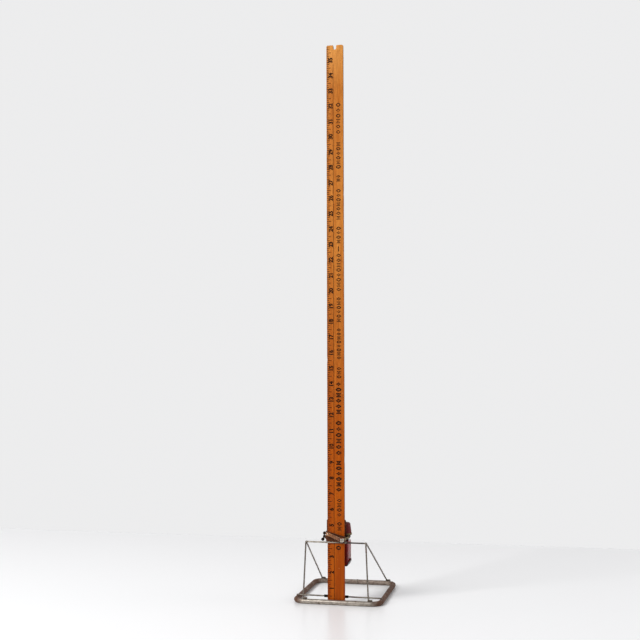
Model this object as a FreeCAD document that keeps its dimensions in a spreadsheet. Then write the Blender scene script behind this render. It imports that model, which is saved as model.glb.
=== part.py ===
"""A dressmaker's hem marker: a yardstick upright in a bent wire stand, with a sliding powder head.

Millimetres. X runs to the right along the front of the stand, Y runs to the back and Z is up.
The origin is the middle of the yardstick's zero end, on the floor.
"""

import FreeCAD, Part
import math
import os
import re

import Sketcher

Vector = FreeCAD.Vector
Placement = FreeCAD.Placement
Rotation = FreeCAD.Rotation

SIZES = (
    ("ruler_length", 914.4), ("ruler_width", 28.2), ("ruler_thick", 4.8), ("ruler_corner", 2.2),
    ("notch_width", 4.8), ("notch_depth", 7.5),
    ("rod_width", 8.0), ("ring_width", 140.0), ("ring_depth", 168.0), ("ring_bend", 16.0),
    ("ring_shift", 1.8), ("bar_gap", 1.0),
    ("wire_width", 2.4), ("wire_bend", 2.0), ("corner_rise", 1.6), ("corner_lead", 0.9),
    ("wire_gap", 0.3), ("rest_gap", 0.02),
    ("cross_height", 99.4), ("cross_span", 98.8), ("foot_span", 106.9), ("heel_span", 115.9),
    ("toe_length", 6.5), ("stop_back", 13.9), ("stop_skew", 2.0), ("keeper_gap", 0.5),
    ("clip_left", 23.0), ("clip_right", 17.0), ("clip_sheet", 1.0), ("clip_drop", 5.0),
    ("tongue_half", 11.0), ("bead_radius", 1.7), ("bead_length", 3.0),
    ("seam_shift", 5.0), ("seam_width", 1.6), ("seam_rise", 0.5),
    ("saddle_low", 101.5), ("saddle_high", 136.0), ("saddle_sheet", 1.0), ("saddle_gap", 0.3),
    ("saddle_play", 0.4), ("pad_room", 1.2), ("leaf_left", 117.6), ("leaf_right", 108.6),
    ("saddle_corner", 3.0),
    ("tilt", 16.0), ("screw_height", 107.0), ("screw_side", 0.3), ("screw_radius", 1.5),
    ("screw_length", 7.6), ("thread_gap", 0.05), ("boss_radius", 3.1),
    ("boss_end", 2.0), ("hub_radius", 2.5), ("hub_start", 2.5), ("hub_length", 3.8),
    ("wing_reach", 7.8), ("wing_radius", 2.6), ("wing_sheet", 2.2), ("wing_rise", 5.4), ("web_drop", 1.0),
    ("pad_sheet", 0.7), ("pad_back", 0.15), ("pad_height", 6.0), ("pad_width", 4.0),
    ("brace_end", 11.6), ("brace_bend", 10.7), ("brace_front", 24.9), ("brace_sheet", 0.8),
    ("brace_height", 5.6), ("brace_left_top", 115.8), ("brace_right_top", 109.9),
    ("rivet_radius", 1.5), ("rivet_rise", 0.8),
    ("tube_radius", 2.05), ("tube_wall", 0.7), ("tube_bend", 6.0), ("tube_height", 107.1),
    ("tube_in_x", 13.2), ("tube_in_y", 15.8), ("tube_side_x", 20.0), ("tube_side_y", 4.5),
    ("tip_x", 13.9), ("tip_back", 22.2), ("tip_front", 26.4), ("tip_width", 4.6),
    ("tip_low", 103.6), ("tip_high", 109.8), ("tip_round", 1.2), ("slit_width", 3.0),
    ("slit_height", 0.8), ("slit_depth", 3.0),
    ("tank_x", 2.4), ("tank_y", 18.6), ("tank_low", 62.0), ("tank_high", 100.0),
    ("tank_flat", 15.4), ("tank_point", 18.4), ("tank_half", 12.0), ("tank_wall", 2.0),
    ("tank_chamfer_x", 4.8), ("tank_chamfer_z", 8.0), ("mouth_x", 10.5), ("mouth_y", 6.5),
    ("cap_gap", 0.3), ("cap_sheet", 1.4), ("cap_floor", 61.2), ("cap_lip", 1.0), ("plug_height", 4.0),
    ("gasket_sheet", 0.75), ("gasket_rim", 1.6),
    ("cup_high", 110.6), ("cup_low_x", 13.8), ("cup_low_y", 9.0), ("cup_high_x", 19.2),
    ("cup_high_y", 12.6), ("cup_wall", 1.8), ("cup_floor", 102.0),
    ("band_low", 103.0), ("band_high", 106.6), ("band_sheet", 0.9),
    ("bracket_left", 6.0), ("bracket_right", 10.8), ("bracket_low", 102.0), ("bracket_high", 109.2),
    ("screen_sheet", 0.6), ("air_radius", 2.5), ("air_bore", 1.6), ("air_low", 80.0),
    ("bulb_low_x", 18.7), ("bulb_low_y", 12.2), ("bulb_seam", 124.0), ("bulb_seam_x", 17.8),
    ("bulb_seam_y", 11.5), ("bulb_shoulder", 127.4), ("bulb_shoulder_x", 17.3),
    ("bulb_shoulder_y", 11.1), ("bulb_high", 129.4), ("bulb_high_x", 15.2), ("bulb_high_y", 9.2),
    ("bulb_wall", 2.0), ("rim_low", 109.4), ("rim_high", 112.2), ("rim_x", 19.9), ("rim_y", 13.2),
)

doc = FreeCAD.newDocument("hem_marker")
sheet = doc.addObject("Spreadsheet::Sheet", "Sizes")
pieces = []


def fill_sheet():
    """One row for each driving size: its word in column A, its number in column B."""
    for row, (word, number) in enumerate(SIZES, start=1):
        sheet.set(f"A{row}", word)
        sheet.set(f"B{row}", str(number))
        sheet.setAlias(f"B{row}", word)
    doc.recompute()


def linked(text):
    """An expression of sheet words, written the way another object reads them."""
    return re.sub(r"\b[a-z]\w+\b(?!\()", lambda word: "Sizes." + word.group(), text)


def size(text):
    """The number that an expression of sheet words gives."""
    return float(sheet.evalExpression(linked(text)))


def point(place):
    return Vector(*(size(text) for text in place))


def bind(thing, **sizes):
    """Bind properties to expressions; at_x, at_y and at_z stand for the placement."""
    for name, text in sizes.items():
        if name.startswith("at_"):
            name = "Placement.Base." + name[3:]
        thing.setExpression(name, linked(text))


def keep(thing, label):
    """Name a finished sub-part."""
    thing.Label = label
    pieces.append(thing)
    return thing


def new_body(name):
    return doc.addObject("PartDesign::Body", name)


def new_sketch(body, name, plane, offset="0"):
    """A sketch on one of its body's own origin planes, moved along the plane's normal."""
    sketch = body.newObject("Sketcher::SketchObject", name)
    support = [face for face in body.Origin.OriginFeatures if face.Role == plane]
    sketch.AttachmentSupport = [(support[0], "")]
    sketch.MapMode = "FlatFace"
    sketch.setExpression("AttachmentOffset.Base.z", linked(offset))
    return sketch


def fix(sketch, kind, *ends, to):
    """Add a dimension and bind it to the sheet."""
    row = sketch.addConstraint(Sketcher.Constraint(kind, *ends, size(to)))
    sketch.setExpression(f"Constraints[{row}]", linked(to))


def draw_polygon(sketch, corners):
    """Close a loop of lines whose corners are pairs of expressions."""
    first = sketch.GeometryCount
    places = [Vector(size(u), size(v), 0) for u, v in corners]
    for here, there in zip(places, places[1:] + places[:1]):
        sketch.addGeometry(Part.LineSegment(here, there))
    for number, (u, v) in enumerate(corners):
        before = first + (number - 1) % len(corners)
        sketch.addConstraint(Sketcher.Constraint("Coincident", before, 2, first + number, 1))
        fix(sketch, "DistanceX", -1, 1, first + number, 1, to=u)
        fix(sketch, "DistanceY", -1, 1, first + number, 1, to=v)


def draw_rectangle(sketch, left, right, low, high):
    draw_polygon(sketch, ((left, low), (right, low), (right, high), (left, high)))


def draw_circle(sketch, u, v, radius):
    row = sketch.addGeometry(Part.Circle(Vector(size(u), size(v), 0), Vector(0, 0, 1), size(radius)))
    fix(sketch, "DistanceX", -1, 1, row, 3, to=u)
    fix(sketch, "DistanceY", -1, 1, row, 3, to=v)
    fix(sketch, "Radius", row, to=radius)


def draw_round_rectangle(sketch, left, right, low, high, bend):
    """Four lines joined by four tangent arcs."""
    u0, u1, v0, v1, r = (size(text) for text in (left, right, low, high, bend))
    corners = ((u1 - r, v0 + r, -90), (u1 - r, v1 - r, 0), (u0 + r, v1 - r, 90), (u0 + r, v0 + r, 180))
    arcs = []
    for u, v, start in corners:
        circle = Part.Circle(Vector(u, v, 0), Vector(0, 0, 1), r)
        arcs.append(Part.ArcOfCircle(circle, math.radians(start), math.radians(start + 90)))
    for number, arc in enumerate(arcs):
        sketch.addGeometry(Part.LineSegment(arcs[number - 1].EndPoint, arc.StartPoint))
        sketch.addGeometry(arc)
    for number in range(8):
        sketch.addConstraint(Sketcher.Constraint("Tangent", number, 2, (number + 1) % 8, 1))
    for line, kind in ((0, "Horizontal"), (2, "Vertical"), (4, "Horizontal"), (6, "Vertical")):
        sketch.addConstraint(Sketcher.Constraint(kind, line))
    for arc in (3, 5, 7):
        sketch.addConstraint(Sketcher.Constraint("Equal", 1, arc))
    fix(sketch, "Radius", 1, to=bend)
    fix(sketch, "DistanceY", -1, 1, 0, 1, to=low)
    fix(sketch, "DistanceX", -1, 1, 2, 1, to=right)
    fix(sketch, "DistanceY", -1, 1, 4, 1, to=high)
    fix(sketch, "DistanceX", -1, 1, 6, 1, to=left)


def add_pad(body, sketch, length, both_ways=False):
    pad = body.newObject("PartDesign::Pad", sketch.Name + "_pad")
    pad.Profile = sketch
    pad.SideType = "Symmetric" if both_ways else "One side"
    bind(pad, Length=length)
    return pad


def add_pocket(body, sketch, length, reversed_cut=False, both_ways=False):
    """Cut a pocket and stop if it takes nothing away."""
    doc.recompute()
    before = body.Shape.Volume
    pocket = body.newObject("PartDesign::Pocket", sketch.Name + "_pocket")
    pocket.Profile = sketch
    pocket.SideType = "Symmetric" if both_ways else "One side"
    pocket.Reversed = reversed_cut
    bind(pocket, Length=length)
    doc.recompute()
    if not body.Shape.Volume < before:
        raise RuntimeError(f"{pocket.Name} cuts nothing")
    return pocket


def add_fillet(body, base, radius, wanted):
    """Round the edges of a body's last feature that a test picks out."""
    doc.recompute()
    names = [f"Edge{row}" for row, edge in enumerate(base.Shape.Edges, start=1) if wanted(edge)]
    fillet = body.newObject("PartDesign::Fillet", base.Name + "_fillet")
    fillet.Base = (base, names)
    bind(fillet, Radius=radius)
    return fillet


def edge_spans(edge, axis):
    """How far an edge reaches along one axis."""
    box = edge.BoundBox
    return {"x": box.XLength, "y": box.YLength, "z": box.ZLength}[axis]


def block(name, left, right, front, back, low, high):
    box = doc.addObject("Part::Box", name)
    bind(box, Length=f"({right}) - ({left})", Width=f"({back}) - ({front})")
    bind(box, Height=f"({high}) - ({low})", at_x=left, at_y=front, at_z=low)
    return box


def upright(name, x, y, low, high, radius):
    rod = doc.addObject("Part::Cylinder", name)
    bind(rod, Radius=radius, Height=f"({high}) - ({low})", at_x=x, at_y=y, at_z=low)
    return rod


def ball(name, place, radius):
    sphere = doc.addObject("Part::Sphere", name)
    bind(sphere, Radius=radius, at_x=place[0], at_y=place[1], at_z=place[2])
    return sphere


def cut(name, base, *tools):
    tool = tools[0] if len(tools) == 1 else fuse(name + "_tools", *tools)
    result = doc.addObject("Part::Cut", name)
    result.Base = base
    result.Tool = tool
    return result


def fuse(name, *shapes):
    result = doc.addObject("Part::MultiFuse", name)
    result.Shapes = list(shapes)
    return result


def common(name, *shapes):
    result = doc.addObject("Part::MultiCommon", name)
    result.Shapes = list(shapes)
    return result


def prism(name, plane, corners, low, high):
    """A polygon drawn in plan ("XY") or in front view ("XZ"), pulled from low to high."""
    sketch = doc.addObject("Sketcher::SketchObject", name + "_outline")
    draw_polygon(sketch, corners)
    pulled = doc.addObject("Part::Extrusion", name)
    pulled.Base = sketch
    pulled.DirMode = "Custom"
    pulled.Solid = True
    bind(pulled, LengthFwd=f"({high}) - ({low})")
    if plane == "XY":
        pulled.Dir = Vector(0, 0, 1)
        bind(sketch, at_z=low)
    else:
        pulled.Dir = Vector(0, 1, 0)
        sketch.Placement = Placement(Vector(), Rotation(Vector(1, 0, 0), 90))
        bind(sketch, at_y=low)
    return pulled


def oval_loft(name, levels, inset="0"):
    """A solid through level ovals, each a height and two half widths, about the tank's axis."""
    ovals = []
    for number, (height, half_x, half_y) in enumerate(levels):
        oval = doc.addObject("Part::Ellipse", f"{name}_oval_{number}")
        bind(oval, MajorRadius=f"{half_x} - ({inset})", MinorRadius=f"{half_y} - ({inset})")
        bind(oval, at_x="tank_x", at_y="tank_y", at_z=height)
        ovals.append(oval)
    loft = doc.addObject("Part::Loft", name)
    loft.Sections = ovals
    loft.Solid = True
    loft.Ruled = True
    return loft


def round_path(places, bend):
    """Straight runs through the places, joined by tangent arcs of one radius."""
    edges = []
    start = places[0]
    for before, corner, after in zip(places, places[1:], places[2:]):
        inward = (before - corner).normalize()
        onward = (after - corner).normalize()
        half = inward.getAngle(onward) / 2
        reach = bend / math.tan(half)
        bisector = (inward + onward).normalize()
        middle = corner + bisector * (bend / math.sin(half) - bend)
        entry = corner + inward * reach
        leave = corner + onward * reach
        edges.append(Part.LineSegment(start, entry).toShape())
        edges.append(Part.Arc(entry, middle, leave).toShape())
        start = leave
    edges.append(Part.LineSegment(start, places[-1]).toShape())
    return Part.Wire(edges)


def bent_rod(name, places, radius, bend):
    """A round rod along straight runs and tangent arcs; the bends lie in no single plane."""
    path = round_path([point(place) for place in places], size(bend))
    start = path.Edges[0]
    ring = Part.Circle(start.valueAt(start.FirstParameter), start.tangentAt(start.FirstParameter),
                       size(radius))
    rod = doc.addObject("Part::Feature", name)
    rod.Shape = path.makePipeShell([Part.Wire(ring.toShape())], True, False)
    rod.Placement = Placement()
    return rod


BAR_Y = "0 - ruler_thick / 2 - bar_gap - rod_width / 2"
BACK_Y = BAR_Y + " + ring_depth"
CROSS_Y = "0 - ruler_thick / 2 - wire_gap - wire_width / 2"
ON_ROD = "rod_width + wire_width / 2 + rest_gap"
FOOT_Y = BAR_Y + " + 0.2 * wire_width"


def make_base_ring():
    """One heavy rod bent to a rounded rectangle, its ends butted in the back bar."""
    body = new_body("ring_body")
    path = new_sketch(body, "ring_path", "XY_Plane", "rod_width / 2")
    draw_round_rectangle(path, "ring_shift - ring_width / 2", "ring_shift + ring_width / 2",
                         BAR_Y, BACK_Y, "ring_bend")
    section = new_sketch(body, "ring_section", "YZ_Plane", "ring_shift - ring_width / 4")
    draw_circle(section, BAR_Y, "rod_width / 2", "rod_width / 2")
    doc.recompute()
    pipe = body.newObject("PartDesign::AdditivePipe", "ring_pipe")
    pipe.Profile = section
    pipe.Spine = (path, [f"Edge{row}" for row in range(1, 9)])
    return keep(body, "base_ring")


def make_side_wire(label, side):
    """A steep front leg and a long back leg of one wire, with a short welded toe at each end."""
    foot, top, heel = (f"{side} * {span} / 2" for span in ("foot_span", "cross_span", "heel_span"))
    places = ((foot + " + toe_length", FOOT_Y, ON_ROD), (foot, FOOT_Y, ON_ROD),
              (top, CROSS_Y + " - corner_lead", "cross_height + corner_rise"),
              (heel, BACK_Y, ON_ROD), (heel + " + toe_length", BACK_Y, ON_ROD))
    return keep(bent_rod(label, places, "wire_width / 2", "wire_bend"), label)


def make_cross_wire(rail, sides):
    """The rail between the two corners, in front of the yardstick."""
    return keep(cut("cross_wire", cut("cross_left", rail, sides[0]), sides[1]), "top_cross_wire")


def make_keeper(rail):
    """A staple behind the yardstick, welded to the rail."""
    arm = "(ruler_width / 2 + keeper_gap + wire_width / 2)"
    back = "ruler_thick / 2 + wire_gap + wire_width / 2"
    places = [(f"{side} * {arm}", y, "cross_height")
              for side, y in ((-1, CROSS_Y), (-1, back), (1, back), (1, CROSS_Y))]
    staple = bent_rod("staple", places, "wire_width / 2", "0.6 * wire_width")
    return keep(cut("keeper", staple, rail), "ruler_keeper")


def make_stop_wire():
    """A thin wire across the side bars, a little crooked."""
    left = "ring_shift - ring_width / 2 - 1"
    right = "ring_shift + ring_width / 2 - 1"
    places = ((left, "stop_back + 0.9 * stop_skew", ON_ROD), ("0 - clip_left - 4", "stop_back", ON_ROD),
              ("clip_right + 6", "stop_back", ON_ROD), (right, "stop_back - stop_skew", ON_ROD))
    return keep(bent_rod("stop_wire", places, "wire_width / 2", "8 * wire_bend"), "rear_stop_wire")


def make_foot_clip(stop_wire):
    """A black sheet clip rolled round the stop wire; its tongue backs the foot of the yardstick."""
    front = "ruler_thick / 2 + wire_gap"
    under = ON_ROD + " + wire_width / 2"
    roll = doc.addObject("Part::Cylinder", "clip_roll")
    roll.Placement = Placement(Vector(), Rotation(Vector(0, 1, 0), 90))
    bind(roll, Radius="wire_width / 2 + clip_sheet", Height="clip_left + clip_right")
    bind(roll, at_x="0 - clip_left", at_y="stop_back", at_z=ON_ROD)
    tongue = block("clip_tongue", "0 - tongue_half", "tongue_half", front, "stop_back",
                   under, under + " + clip_sheet")
    lip = block("clip_lip", "0 - tongue_half", "tongue_half", front, front + " + clip_sheet",
                under + " - clip_drop", under + " + clip_sheet")
    return keep(cut("clip", fuse("clip_blank", roll, tongue, lip), stop_wire), "foot_clip")


def bead_roll(name, x, y, z, length="bead_length", radius="bead_radius"):
    """A short roll of weld metal lying along X, from x onwards."""
    roll = doc.addObject("Part::Cylinder", name)
    roll.Placement = Placement(Vector(), Rotation(Vector(0, 1, 0), 90))
    bind(roll, Radius=radius, Height=length, at_x=x, at_y=y, at_z=z)
    return roll


def make_weld_beads(metal):
    """Welds where wires cross or end, and the butt weld in the back bar."""
    beads = [bead_roll("seam_bead", "seam_shift", BACK_Y, "rod_width / 2 + seam_rise",
                       "seam_width", "rod_width / 2")]
    for row, side in enumerate((-1, 1)):
        toe = "toe_length - bead_length - 0.5"
        arm = "(ruler_width / 2 + keeper_gap + wire_width / 2)"
        corner = "(cross_span / 2 - wire_width / 2 - bead_length / 2 - rest_gap)"
        starts = ((f"{side} * foot_span / 2 + {toe}", FOOT_Y, ON_ROD),
                  (f"{side} * heel_span / 2 + {toe}", BACK_Y, ON_ROD),
                  (f"{side} * {arm} - bead_length / 2", CROSS_Y, "cross_height"),
                  (f"{side} * {corner} - bead_length / 2", CROSS_Y, "cross_height"),
                  (f"ring_shift + {side} * ring_width / 2 - bead_length / 2",
                   f"stop_back - {side} * stop_skew", ON_ROD))
        beads += [bead_roll(f"bead_{row}_{number}", *start) for number, start in enumerate(starts)]
    trimmed = fuse("bead_group", *beads)
    for row, rod in enumerate(metal):
        trimmed = cut(f"beads_trimmed_{row}", trimmed, rod)
    return keep(trimmed, "weld_beads")


def make_yardstick():
    """A plain hardwood lath with a hanging notch in its top end."""
    body = new_body("lath_body")
    section = new_sketch(body, "lath_section", "XY_Plane")
    draw_rectangle(section, "0 - ruler_width / 2", "ruler_width / 2",
                   "0 - ruler_thick / 2", "ruler_thick / 2")
    lath = add_pad(body, section, "ruler_length")
    add_fillet(body, lath, "ruler_corner",
               lambda edge: edge_spans(edge, "y") > 1 and edge.BoundBox.ZMin > 1)
    slot = new_sketch(body, "notch_slot", "XZ_Plane")
    draw_rectangle(slot, "0 - notch_width / 2", "notch_width / 2",
                   "ruler_length - notch_depth + notch_width / 2", "ruler_length + 1")
    add_pocket(body, slot, "2 * ruler_thick", both_ways=True)
    root = new_sketch(body, "notch_root", "XZ_Plane")
    draw_circle(root, "0", "ruler_length - notch_depth + notch_width / 2", "notch_width / 2")
    add_pocket(body, root, "2 * ruler_thick", both_ways=True)
    return keep(body, "yardstick")


FLANGE_IN = "0 - ruler_width / 2 - pad_room"
FLANGE_OUT = FLANGE_IN + " - saddle_sheet"
RIGHT_IN = "ruler_width / 2 + saddle_play"
RIGHT_OUT = RIGHT_IN + " + saddle_sheet"
GAP_Y = "ruler_thick / 2 + saddle_gap"
SHEET_Y = GAP_Y + " + saddle_sheet"


def make_saddle():
    """Sheet steel folded round the yardstick: a tall back plate, two flanges and a sloping front leaf."""
    body = new_body("saddle_body")
    section = new_sketch(body, "saddle_section", "XY_Plane", "saddle_low")
    draw_rectangle(section, FLANGE_OUT, RIGHT_OUT, f"0 - ({SHEET_Y})", SHEET_Y)
    draw_rectangle(section, FLANGE_IN, RIGHT_IN, f"0 - ({GAP_Y})", GAP_Y)
    add_pad(body, section, "saddle_high - saddle_low")
    slope = new_sketch(body, "saddle_slope", "XZ_Plane", f"0 - ({GAP_Y})")
    draw_polygon(slope, ((FLANGE_OUT + " - 1", "leaf_left"), (RIGHT_OUT + " + 1", "leaf_right"),
                         (RIGHT_OUT + " + 1", "saddle_high + 1"), (FLANGE_OUT + " - 1", "saddle_high + 1")))
    trimmed = add_pocket(body, slope, "4 * ruler_thick", reversed_cut=True)
    add_fillet(body, trimmed, "saddle_corner",
               lambda edge: edge_spans(edge, "y") > 0.5 and edge.BoundBox.ZMin > size("saddle_high") - 1
               and edge_spans(edge, "x") < 0.1)
    hole = new_sketch(body, "saddle_hole", "YZ_Plane", FLANGE_OUT + " - 1")
    draw_circle(hole, "screw_side", "screw_height + 0.3", "1.6 * screw_radius")
    add_pocket(body, hole, "saddle_sheet + 2", reversed_cut=True)
    return keep(body, "slide_saddle")


def screw_frame():
    """Where the tilted screw's tip is, with its axis pointing out to the left and up."""
    across = Rotation(Vector(0, 1, 0), -90 + size("tilt"))
    tip = point((FLANGE_IN + " + pad_back - screw_radius * sin(tilt) - thread_gap",
                 "screw_side", "screw_height"))
    return Placement(tip, across)


def make_boss():
    """A threaded boss brazed to the left flange, square to the screw."""
    barrel = doc.addObject("Part::Cylinder", "boss_barrel")
    barrel.Placement = screw_frame()
    bind(barrel, Radius="boss_radius", Height="boss_end")
    bore = doc.addObject("Part::Cylinder", "boss_bore")
    bore.Placement = screw_frame()
    bind(bore, Radius="screw_radius + thread_gap", Height="screw_length")
    inside = block("boss_trim", FLANGE_OUT, FLANGE_IN + " + 9", "0 - 9 * screw_radius",
                   "9 * screw_radius", "screw_height - 9", "screw_height + 9")
    return keep(cut("boss", barrel, bore, inside), "screw_boss")


def make_wing_screw():
    """Shank and hub turned, with two flat wings."""
    body = new_body("wing_body")
    profile = new_sketch(body, "wing_profile", "XZ_Plane")
    draw_polygon(profile, (("0", "0"), ("screw_radius", "0"),
                           ("screw_radius", "hub_start"), ("hub_radius", "hub_start"),
                           ("0.7 * hub_radius", "hub_start + hub_length"),
                           ("0", "hub_start + hub_length")))
    turned = body.newObject("PartDesign::Revolution", "wing_turned")
    turned.Profile = profile
    turned.ReferenceAxis = (profile, ["V_Axis"])
    turned.Angle = 360
    web = new_sketch(body, "wing_web", "XZ_Plane")
    arm = "wing_reach - wing_radius"
    draw_polygon(web, ((f"0 - ({arm})", "wing_rise - web_drop"), (arm, "wing_rise - web_drop"),
                       (arm, "wing_rise + wing_radius / 2"), ("0", "wing_rise"),
                       (f"0 - ({arm})", "wing_rise + wing_radius / 2")))
    add_pad(body, web, "wing_sheet", both_ways=True)
    for side, name in ((-1, "wing_lower"), (1, "wing_upper")):
        lobe = new_sketch(body, name, "XZ_Plane")
        draw_circle(lobe, f"{side} * ({arm})", "wing_rise", "wing_radius")
        add_pad(body, lobe, "wing_sheet", both_ways=True)
    body.Placement = screw_frame()
    return keep(body, "wing_screw")


def make_pressure_pad():
    """A loose brass shoe between the screw and the yardstick's edge."""
    left = FLANGE_IN + " + pad_back"
    shoe = block("pad_shoe", left, left + " + pad_sheet", "screw_side - pad_width / 2",
                 "screw_side + pad_width / 2", "screw_height - pad_height / 2",
                 "screw_height + pad_height / 2")
    return keep(shoe, "pressure_pad")


def make_brace():
    """A bright strap from the saddle's front leaf out to the nozzle."""
    near = f"0 - ({SHEET_Y})"
    lean = "brace_sheet * sqrt(2)"
    plan = ((FLANGE_OUT, near), (FLANGE_OUT, near + " - brace_sheet"),
            ("0 - brace_bend", near + " - brace_sheet"), ("brace_end", "0 - brace_front"),
            ("brace_end", f"0 - brace_front + {lean}"), (f"0 - brace_bend + 0.5 * {lean}", near))
    front = ((FLANGE_OUT, "brace_left_top - brace_height"), ("brace_end", "brace_right_top - brace_height"),
             ("brace_end", "brace_right_top"), (FLANGE_OUT, "brace_left_top"))
    strip = prism("brace_strip", "XY", plan, "saddle_low", "saddle_high")
    slope = prism("brace_slope", "XZ", front, "0 - 2 * brace_front", "0")
    return keep(common("brace", strip, slope), "brace_strap")


def make_brace_rivet():
    """A small domed head that holds the strap's foot."""
    x = f"({FLANGE_OUT} - brace_bend) / 2"
    face = f"0 - ({SHEET_Y}) - brace_sheet"
    centre = (x, face + " + rivet_radius - rivet_rise", "brace_left_top - 0.6 * brace_height")
    dome = ball("rivet_ball", centre, "rivet_radius")
    behind = block("rivet_trim", x + " - 4", x + " + 4", face, face + " + 8",
                   "saddle_low", "saddle_high")
    return keep(cut("rivet", dome, behind), "brace_rivet")


def tube_rod(name, radius):
    """The nozzle tube's route: out of the cup, along the yardstick's right edge and forward."""
    places = (("tube_in_x", "tube_in_y", "tube_height"), ("tube_side_x", "tube_side_y", "tube_height"),
              ("tip_x", "0 - tip_back - 1.4", "tube_height - 0.8"))
    return bent_rod(name, places, radius, "tube_bend")


def make_nozzle_tip(rod):
    """A bright block with a slit that blows a thin line of powder."""
    body = new_body("tip_body")
    plan = new_sketch(body, "tip_plan", "XY_Plane", "tip_low")
    draw_rectangle(plan, "tip_x - tip_width / 2", "tip_x + tip_width / 2", "0 - tip_front", "0 - tip_back")
    solid = add_pad(body, plan, "tip_high - tip_low")
    add_fillet(body, solid, "tip_round",
               lambda edge: edge.BoundBox.YMax < -size("tip_back") - 1)
    slit = new_sketch(body, "tip_slit", "XZ_Plane", "tip_front")
    draw_rectangle(slit, "tip_x - slit_width / 2", "tip_x + slit_width / 2",
                   "tube_height - 0.8 - slit_height / 2", "tube_height - 0.8 + slit_height / 2")
    add_pocket(body, slit, "slit_depth")
    return keep(cut("tip", body, rod), "nozzle_tip")


def tank_hexagon(outset):
    """The tank's plan: six flat sides, pointed to left and right."""
    flat, peak, half = f"(tank_flat + {outset})", f"(tank_point + {outset})", f"(tank_half + {outset})"
    return ((f"tank_x - {flat}", f"tank_y - {half}"), (f"tank_x + {flat}", f"tank_y - {half}"),
            (f"tank_x + {peak}", "tank_y"), (f"tank_x + {flat}", f"tank_y + {half}"),
            (f"tank_x - {flat}", f"tank_y + {half}"), (f"tank_x - {peak}", "tank_y"))


def make_reservoir(air_rod):
    """The moulded powder tank: six-sided, chamfered at the foot, with a filling mouth below."""
    outer = prism("tank_outer", "XY", tank_hexagon("0"), "tank_low", "tank_high")
    inner = prism("tank_inner", "XY", tank_hexagon("0 - tank_wall"),
                  "tank_low - 1", "tank_high - tank_wall")
    outlines = []
    for name, wall in (("tank_front", "0"), ("tank_hollow", "tank_wall")):
        side = f"(tank_point - {wall})"
        floor = f"tank_low + {wall}"
        slope = f"tank_low + tank_chamfer_z + 0.4 * {wall}"
        base = f"(tank_point - tank_chamfer_x - 0.6 * {wall})"
        outlines.append(prism(name, "XZ", (
            (f"tank_x - {base}", floor), (f"tank_x + {base}", floor), (f"tank_x + {side}", slope),
            (f"tank_x + {side}", f"tank_high - {wall}"), (f"tank_x - {side}", f"tank_high - {wall}"),
            (f"tank_x - {side}", slope)), "tank_y - 2 * tank_half", "tank_y + 2 * tank_half"))
    shell = common("tank_shell", outer, outlines[0])
    hollow = common("tank_room", inner, outlines[1])
    mouth = block("tank_mouth", "tank_x - mouth_x", "tank_x + mouth_x", "tank_y - mouth_y",
                  "tank_y + mouth_y", "tank_low - 1", "tank_low + 2 * tank_wall")
    return keep(cut("tank", shell, hollow, mouth, air_rod), "reservoir")


def make_filler_cap():
    """A dark pull-off tray under the tank, with upturned ends and a plug in the mouth."""
    base = "(tank_point - tank_chamfer_x)"
    rise = "tank_low + tank_chamfer_z"
    lip = "(tank_point + cap_lip + 0.7)"
    floor = "cap_floor"
    tray = prism("cap_tray", "XZ", (
        (f"tank_x - {base} - 0.6", f"{floor} - cap_sheet"),
        (f"tank_x + {base} + 0.6", f"{floor} - cap_sheet"),
        (f"tank_x + {lip}", rise), (f"tank_x + {lip} - 0.2", f"{rise} + 0.9"),
        (f"tank_x + {lip} - 1.3", f"{rise} + 0.5"), (f"tank_x + {base} + 0.1", floor),
        (f"tank_x - {base} - 0.1", floor), (f"tank_x - {lip} + 1.3", f"{rise} + 0.5"),
        (f"tank_x - {lip} + 0.2", f"{rise} + 0.9"), (f"tank_x - {lip}", rise)),
        "tank_y - 2 * tank_half", "tank_y + 2 * tank_half")
    plan = prism("cap_plan", "XY", tank_hexagon("cap_lip"), "cap_floor - 4", f"{rise} + 4")
    plug = block("cap_plug", "tank_x - mouth_x + cap_gap", "tank_x + mouth_x - cap_gap",
                 "tank_y - mouth_y + cap_gap", "tank_y + mouth_y - cap_gap",
                 "cap_floor - 0.2", "tank_low + plug_height")
    return keep(fuse("cap", common("cap_tray_shape", tray, plan), plug), "filler_cap")


def make_cap_gasket():
    """A flat ring between the cap and the tank's mouth."""
    body = new_body("gasket_body")
    plan = new_sketch(body, "gasket_plan", "XY_Plane", "cap_floor")
    edge_x, edge_y = "(mouth_x + gasket_rim)", "(mouth_y + gasket_rim)"
    draw_rectangle(plan, f"tank_x - {edge_x}", f"tank_x + {edge_x}",
                   f"tank_y - {edge_y}", f"tank_y + {edge_y}")
    draw_rectangle(plan, "tank_x - mouth_x", "tank_x + mouth_x", "tank_y - mouth_y", "tank_y + mouth_y")
    add_pad(body, plan, "gasket_sheet")
    return keep(body, "cap_gasket")


CUP = (("tank_high", "cup_low_x", "cup_low_y"), ("cup_high", "cup_high_x", "cup_high_y"))


def cup_half(height, low, high):
    """The cup's half width at a height between its two ends."""
    return f"({low} + ({high} - {low}) * ({height} - tank_high) / (cup_high - tank_high))"


def cup_slice(name, low, high, inset):
    """The part of the flaring cup between two heights, made thinner or thicker by an inset."""
    levels = [(level, cup_half(level, "cup_low_x", "cup_high_x"),
               cup_half(level, "cup_low_y", "cup_high_y")) for level in (low, high)]
    return oval_loft(name, levels, inset)


def make_valve_cup(tube, air_rod):
    """The flaring cup between the tank and the bulb."""
    outer = oval_loft("cup_outer", CUP)
    inner = cup_slice("cup_inner", "cup_floor", "cup_high", "cup_wall")
    return keep(cut("cup", outer, inner, tube, air_rod), "valve_cup")


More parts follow.
